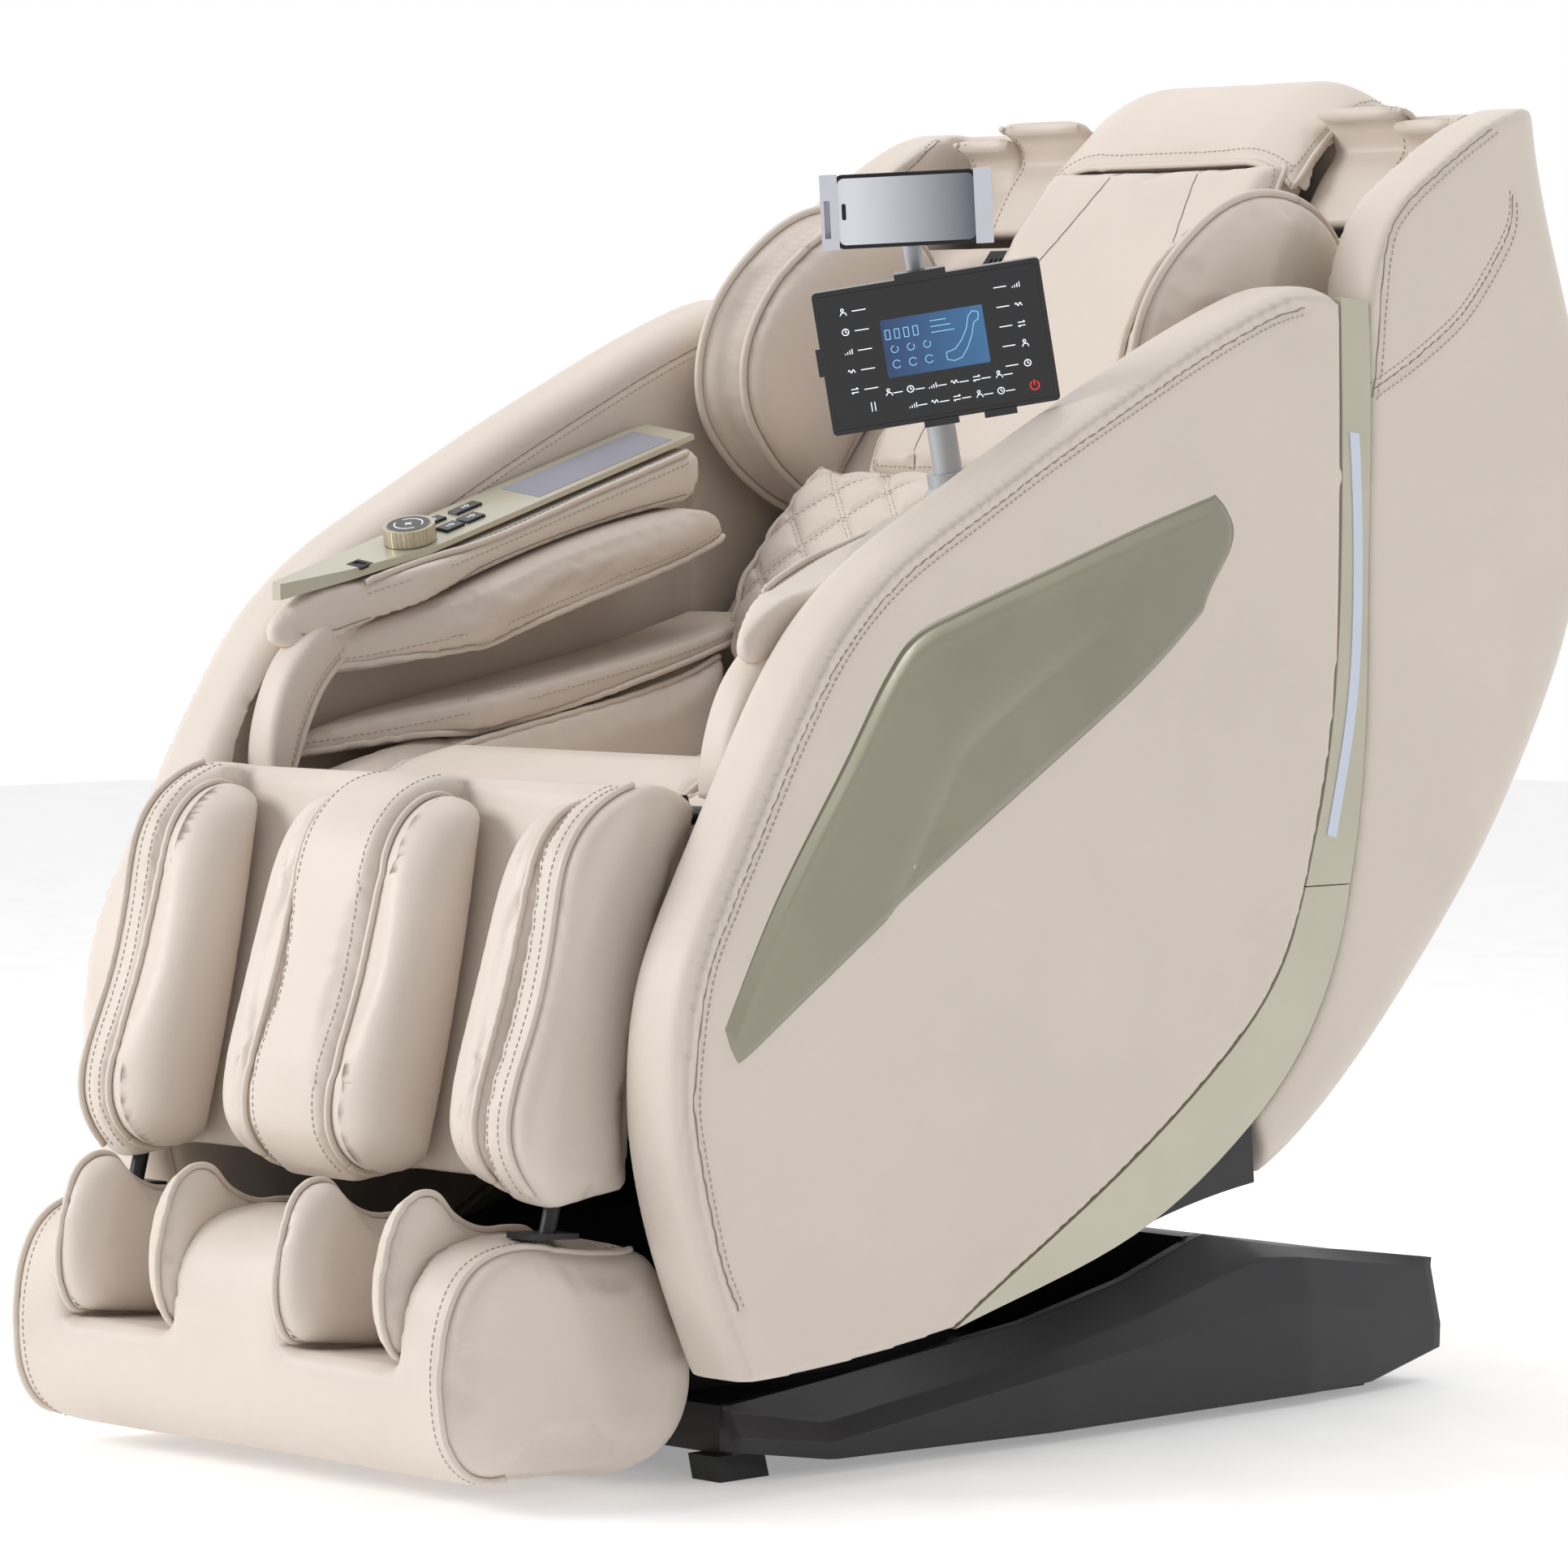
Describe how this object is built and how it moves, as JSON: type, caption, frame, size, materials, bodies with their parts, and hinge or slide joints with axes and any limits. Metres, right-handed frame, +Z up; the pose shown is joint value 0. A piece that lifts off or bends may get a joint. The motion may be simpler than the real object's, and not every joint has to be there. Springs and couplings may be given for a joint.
{
  "type": "massage chair",
  "caption": "Reclining massage chair: padded seat between deep side panels, hooded back with rollers, calf and foot unit, arm controls and a control pole.",
  "frame": {"origin": "on the floor under the centre of the chair's length and width, at rest, upright", "axes": "+Z up, -Y towards the front (the feet), +X to the sitter's left"},
  "size_m": [0.784, 1.3306, 1.203],
  "materials": {
    "leather": "cream leatherette with a fine grain",
    "pad_leather": "soft cream leatherette, padded and stitched",
    "base_plastic": "charcoal moulded plastic",
    "dark_plastic": "dark moulded plastic",
    "rubber": "black rubber",
    "steel": "black painted steel",
    "olive_trim": "olive-grey satin plastic",
    "champagne_trim": "pale champagne satin plastic",
    "lamp": "frosted diffuser",
    "black_gloss": "black gloss plastic",
    "knob_metal": "champagne plated knob with fine ribs",
    "grey_pad": "lavender-grey soft pad",
    "roller_rubber": "dense rubber",
    "pole_metal": "silver-grey painted tube",
    "screen_glass": "dark display glass",
    "holder_plastic": "pale satin plastic",
    "phone_body": "dark glass and metal slab"
  },
  "bodies": {
    "base": {"base_skirts": "base_plastic", "base_pan": "base_plastic", "rubber_feet": "rubber", "glide_rails": "steel", "air_and_control_units": "dark_plastic", "power_inlet": "dark_plastic"},
    "wheels": {"transport_wheels": "rubber"},
    "rocker": {"power_switch": "dark_plastic"},
    "seat": {"side_panels": "leather", "side_inserts": "olive_trim", "pillar_trims": "champagne_trim", "light_strips": "lamp", "underside_cover": "dark_plastic", "shell_tail": "dark_plastic", "seat_frame": "steel", "glide_shoes": "dark_plastic", "seat_cushion": "pad_leather", "hip_pads": "pad_leather", "armrests": "leather", "console_plate": "black_gloss", "console_tray_pad": "grey_pad", "usb_port": "dark_plastic", "left_arm_plate": "champagne_trim", "arm_pads_lower": "pad_leather", "pole_socket": "pole_metal"},
    "knob": {"console_knob": "knob_metal"},
    "button_1": {"console_button_1": "black_gloss"},
    "button_2": {"console_button_2": "black_gloss"},
    "button_3": {"console_button_3": "black_gloss"},
    "button_4": {"console_button_4": "black_gloss"},
    "flap_left": {"arm_flap_upper_left": "pad_leather"},
    "flap_right": {"arm_flap_upper_right": "pad_leather"},
    "back": {"back_shell": "leather", "back_frame": "steel", "back_liner": "pad_leather", "back_pad": "pad_leather", "lumbar_pad": "pad_leather", "head_pillow": "pad_leather", "shoulder_pads": "pad_leather", "speaker_grilles": "dark_plastic"},
    "carriage": {"massage_carriage": "dark_plastic"},
    "rocking_arm_left": {"roller_arm_left": "steel"},
    "rocking_arm_right": {"roller_arm_right": "steel"},
    "roller_lower_left": {"massage_roller_lower_left": "roller_rubber"},
    "roller_lower_right": {"massage_roller_lower_right": "roller_rubber"},
    "roller_upper_left": {"massage_roller_upper_left": "roller_rubber"},
    "roller_upper_right": {"massage_roller_upper_right": "roller_rubber"},
    "calf_unit": {"calf_shell": "leather", "calf_frame": "steel", "calf_pads": "pad_leather"},
    "foot_unit": {"foot_shell": "leather", "foot_pads": "pad_leather", "foot_slide": "steel"},
    "pole": {"pole_lower": "pole_metal"},
    "screen": {"screen_housing": "black_gloss", "screen_glass": "screen_glass"},
    "mast": {"pole_upper": "pole_metal"},
    "cradle": {"phone_holder": "holder_plastic", "phone": "phone_body"},
    "jaw": {"phone_jaw": "holder_plastic"}
  },
  "joints": [
    {"name": "seat_glide", "type": "hinge", "parent": "base", "child": "seat", "pos_m": [0, -0.48664, 1.47], "axis": [-1, 0, 0], "range_deg": [0, 8]},
    {"name": "back_recline", "type": "hinge", "parent": "seat", "child": "back", "pos_m": [0, 0.19136, 0.27], "axis": [-1, 0, 0], "range_deg": [0, 15]},
    {"name": "legrest_swing", "type": "hinge", "parent": "seat", "child": "calf_unit", "pos_m": [0, -0.36864, 0.552], "axis": [-1, 0, 0], "range_deg": [0, 65]},
    {"name": "footrest_extend", "type": "slide", "parent": "calf_unit", "child": "foot_unit", "axis": [0, -0.2588, -0.9659], "range_m": [0, 0.15]},
    {"name": "carriage_travel", "type": "slide", "parent": "back", "child": "carriage", "axis": [0, 0.6508, 0.7593], "range_m": [-0.12, 0.18]},
    {"name": "arm_rock_left", "type": "hinge", "parent": "carriage", "child": "rocking_arm_left", "pos_m": [0.048, 0.37817, 0.80173], "axis": [1, 0, 0], "range_deg": [-10, 10]},
    {"name": "arm_rock_right", "type": "hinge", "parent": "carriage", "child": "rocking_arm_right", "pos_m": [-0.048, 0.37817, 0.80173], "axis": [1, 0, 0], "range_deg": [-10, 10]},
    {"name": "roller_spin_lower_left", "type": "hinge", "parent": "rocking_arm_left", "child": "roller_lower_left", "pos_m": [0.0685, 0.32111, 0.78741], "axis": [1, 0, 0], "continuous": true},
    {"name": "roller_spin_upper_left", "type": "hinge", "parent": "rocking_arm_left", "child": "roller_upper_left", "pos_m": [0.0685, 0.38359, 0.8603], "axis": [1, 0, 0], "continuous": true},
    {"name": "roller_spin_lower_right", "type": "hinge", "parent": "rocking_arm_right", "child": "roller_lower_right", "pos_m": [-0.0685, 0.32111, 0.78741], "axis": [1, 0, 0], "continuous": true},
    {"name": "roller_spin_upper_right", "type": "hinge", "parent": "rocking_arm_right", "child": "roller_upper_right", "pos_m": [-0.0685, 0.38359, 0.8603], "axis": [1, 0, 0], "continuous": true},
    {"name": "knob_turn", "type": "hinge", "parent": "seat", "child": "knob", "pos_m": [-0.26629, -0.21903, 0.77972], "axis": [0.156, -0.297, 0.942], "continuous": true},
    {"name": "button_1_press", "type": "slide", "parent": "seat", "child": "button_1", "axis": [-0.156, 0.297, -0.942], "range_m": [0, 0.0018], "stiffness_N_per_m": 200},
    {"name": "button_2_press", "type": "slide", "parent": "seat", "child": "button_2", "axis": [-0.156, 0.297, -0.942], "range_m": [0, 0.0018], "stiffness_N_per_m": 200},
    {"name": "button_3_press", "type": "slide", "parent": "seat", "child": "button_3", "axis": [-0.156, 0.297, -0.942], "range_m": [0, 0.0018], "stiffness_N_per_m": 200},
    {"name": "button_4_press", "type": "slide", "parent": "seat", "child": "button_4", "axis": [-0.156, 0.297, -0.942], "range_m": [0, 0.0018], "stiffness_N_per_m": 200},
    {"name": "flap_close_left", "type": "hinge", "parent": "seat", "child": "flap_left", "pos_m": [0.306, -0.11564, 0.735], "axis": [0, -0.9728, -0.2316], "range_deg": [0, 9]},
    {"name": "flap_close_right", "type": "hinge", "parent": "seat", "child": "flap_right", "pos_m": [-0.306, -0.11564, 0.735], "axis": [0, 0.9728, 0.2316], "range_deg": [0, 9]},
    {"name": "wheels_spin", "type": "hinge", "parent": "base", "child": "wheels", "pos_m": [0, 0.48136, 0.02], "axis": [1, 0, 0], "continuous": true},
    {"name": "switch_rock", "type": "hinge", "parent": "base", "child": "rocker", "pos_m": [0.023, 0.50636, 0.04], "axis": [-1, 0, 0], "range_deg": [0, 10]},
    {"name": "pole_swivel", "type": "hinge", "parent": "seat", "child": "pole", "pos_m": [0.246, -0.04664, 0.816], "axis": [0, -0.225, 0.9744], "range_deg": [-40, 120]},
    {"name": "screen_tilt", "type": "hinge", "parent": "pole", "child": "screen", "pos_m": [0.26032, -0.09038, 0.94343], "axis": [0.6979, 0.6979, 0.1611], "range_deg": [-10, 10]},
    {"name": "mast_slide", "type": "slide", "parent": "pole", "child": "mast", "axis": [0, -0.225, 0.9744], "range_m": [0, 0.08]},
    {"name": "cradle_tilt", "type": "hinge", "parent": "mast", "child": "cradle", "pos_m": [0.246, -0.10288, 1.05959], "axis": [0.7062, 0.7062, 0.0494], "range_deg": [-20, 15]},
    {"name": "jaw_slide", "type": "slide", "parent": "cradle", "child": "jaw", "axis": [0.7062, 0.7062, 0.0494], "range_m": [0, 0.02], "stiffness_N_per_m": 40, "springref_m": -0.02}
  ],
  "couplings": [
    {"joint": "footrest_extend", "follows": "legrest_swing", "m_per_rad": 0.132},
    {"joint": "arm_rock_right", "follows": "arm_rock_left", "ratio": -1}
  ]
}
